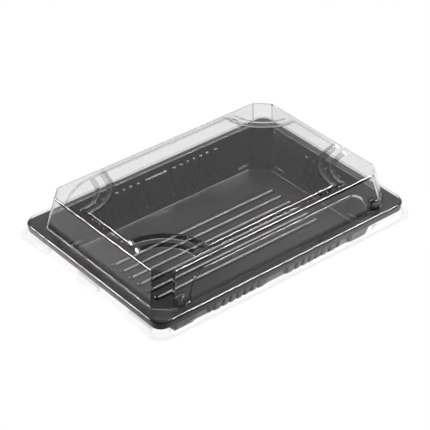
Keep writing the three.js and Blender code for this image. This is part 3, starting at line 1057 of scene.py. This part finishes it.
def is_bend(mesh, face):
    """Whether a face of the lid is part of a tight bend or of a scoop's slope."""
    middle = face.center / MM
    on_top = middle.z > SHOULDER - 1
    beside_panel = any(abs(abs(middle[i]) - PANEL[i]) < STEP_NEAR for i in (0, 1))
    if middle.z < SKIRT_TOP or (on_top and beside_panel):
        return False
    scoop_slope = on_top and SCOOP_TILT[0] < abs(face.normal.z) < SCOOP_TILT[1]
    turns = (mesh.corner_normals[i].vector.angle(face.normal) for i in face.loop_indices)
    return scoop_slope or max(turns) > TURN


bends = [is_bend(lid.data, face) for face in lid.data.polygons]
mark = lid.data.attributes.new("bend", "FLOAT", "FACE")
mark.data.foreach_set("value", [float(bent) for bent in bends])
print("lid faces:", len(bends), "in bends:", sum(bends))

# %% [markdown]
# ## Camera
# A long lens looks down on the near left corner of the pack. A short one would stand closer
# and spread the near corner.

# %% Camera
AZIMUTH, ELEVATION = math.radians(-39.684), math.radians(34.659)
TO_CAMERA = Vector((math.sin(AZIMUTH), -math.cos(AZIMUTH), 0))
LINE = TO_CAMERA * math.cos(ELEVATION) + Vector((0, 0, math.sin(ELEVATION)))
AIM = Vector((-0.003787, -0.003374, 0.0238))
DISTANCE = 0.985068
camera_data = bpy.data.cameras.new("view")
camera = bpy.data.objects.new("view", camera_data)
bpy.context.scene.collection.objects.link(camera)
camera.location = AIM + LINE * DISTANCE
camera.rotation_euler = LINE.to_track_quat("Z", "Y").to_euler()
camera_data.lens = 143.34
camera_data.sensor_width = 36
camera_data.clip_start = 0.01
bpy.context.scene.camera = camera
bpy.context.scene.view_settings.view_transform = "Standard"
print("camera at", [round(value, 3) for value in camera.location])

# %% [markdown]
# ## Table
# The table is plain white and evenly lit, so it glows by itself and takes no shadow. Mirrored
# in the sheet it fades out towards the viewer, as a small table would.

# %% Table
TABLE_SIZE, TABLE_DROP = 8, 0.0002
bpy.ops.object.select_all(action="DESELECT")
bpy.ops.mesh.primitive_plane_add(size=TABLE_SIZE, location=(0, 0, -TABLE_DROP))
floor = settle("table")


def ramp_towards_camera(nodes, links, vector, near, far, near_value, far_value):
    """A value that runs from `far_value` to `near_value` along the line to the camera."""
    along = nodes.new("ShaderNodeVectorMath")
    along.operation = "DOT_PRODUCT"
    along.inputs[1].default_value = TO_CAMERA
    span = nodes.new("ShaderNodeMapRange")
    span.interpolation_type = "SMOOTHSTEP"
    span.inputs["From Min"].default_value = far
    span.inputs["From Max"].default_value = near
    span.inputs["To Min"].default_value = far_value
    span.inputs["To Max"].default_value = near_value
    links.new(vector, along.inputs[0])
    links.new(along.outputs["Value"], span.inputs["Value"])
    return span.outputs["Result"]


white, nodes, links, shader, coords = material("white_table")
nodes.remove(shader)
glow = nodes.new("ShaderNodeEmission")
path = nodes.new("ShaderNodeLightPath")
strength = nodes.new("ShaderNodeMix")
mirrored = ramp_towards_camera(nodes, links, coords.outputs["Object"],
                               near=0.2, far=0.0, near_value=0.02, far_value=1.15)
links.new(path.outputs["Glossy Depth"], strength.inputs["Factor"])
strength.inputs["A"].default_value = 1.0
links.new(mirrored, strength.inputs["B"])
links.new(strength.outputs["Result"], glow.inputs["Strength"])
links.new(glow.outputs["Emission"], nodes["Material Output"].inputs["Surface"])
floor.data.materials.append(white)
print("table:", TABLE_SIZE, "m wide")

# %% [markdown]
# ## Room
# The room is pale behind the pack and dark on the near side, which keeps the corners that
# face it dark. To the camera itself it is white, like the table.

# %% Room
world = bpy.data.worlds.new("room")
bpy.context.scene.world = world
world.use_nodes = True
nodes, links = world.node_tree.nodes, world.node_tree.links
direction = nodes.new("ShaderNodeTexCoord")
path = nodes.new("ShaderNodeLightPath")
strength = nodes.new("ShaderNodeMix")
room = ramp_towards_camera(nodes, links, direction.outputs["Generated"],
                           near=-0.3, far=-0.8, near_value=0.03, far_value=0.5)
links.new(path.outputs["Is Camera Ray"], strength.inputs["Factor"])
links.new(room, strength.inputs["A"])
strength.inputs["B"].default_value = 1.0
links.new(strength.outputs["Result"], nodes["Background"].inputs["Strength"])
nodes["Background"].inputs["Color"].default_value = (1, 1, 1, 1)
bpy.context.scene.cycles.transparent_max_bounces = 32  # lid and tray stack many clear faces
print("room nodes:", len(nodes))

# %% [markdown]
# ## Soft boxes
# Two soft boxes hang either side, a little behind the pack, and draw a bright line along
# every rounded edge. Lamps in front would mirror in the flats and hide what is inside.

# %% Soft boxes
def soft_box(name, turn, height, distance, size, radiance):
    """A soft box turned `turn` degrees from the camera round the pack and `height` up."""
    around = Matrix.Rotation(math.radians(turn), 3, "Z") @ TO_CAMERA
    rise = math.radians(height)
    place = AIM + (around * math.cos(rise) + Vector((0, 0, math.sin(rise)))) * distance
    light = bpy.data.lights.new(name, "AREA")
    light.shape = "RECTANGLE"
    light.size, light.size_y = size
    light.energy = radiance * math.pi * size[0] * size[1]
    lamp = bpy.data.objects.new(name, light)
    bpy.context.scene.collection.objects.link(lamp)
    lamp.location = place
    lamp.rotation_euler = (place - AIM).to_track_quat("Z", "Y").to_euler()
    print(name, "power", round(light.energy, 1), "W")


soft_box("right_box", turn=131, height=57.5, distance=1.5, size=(0.54, 0.4), radiance=32)
soft_box("left_box", turn=-104.6, height=38.5, distance=1.5, size=(0.36, 0.36), radiance=40)
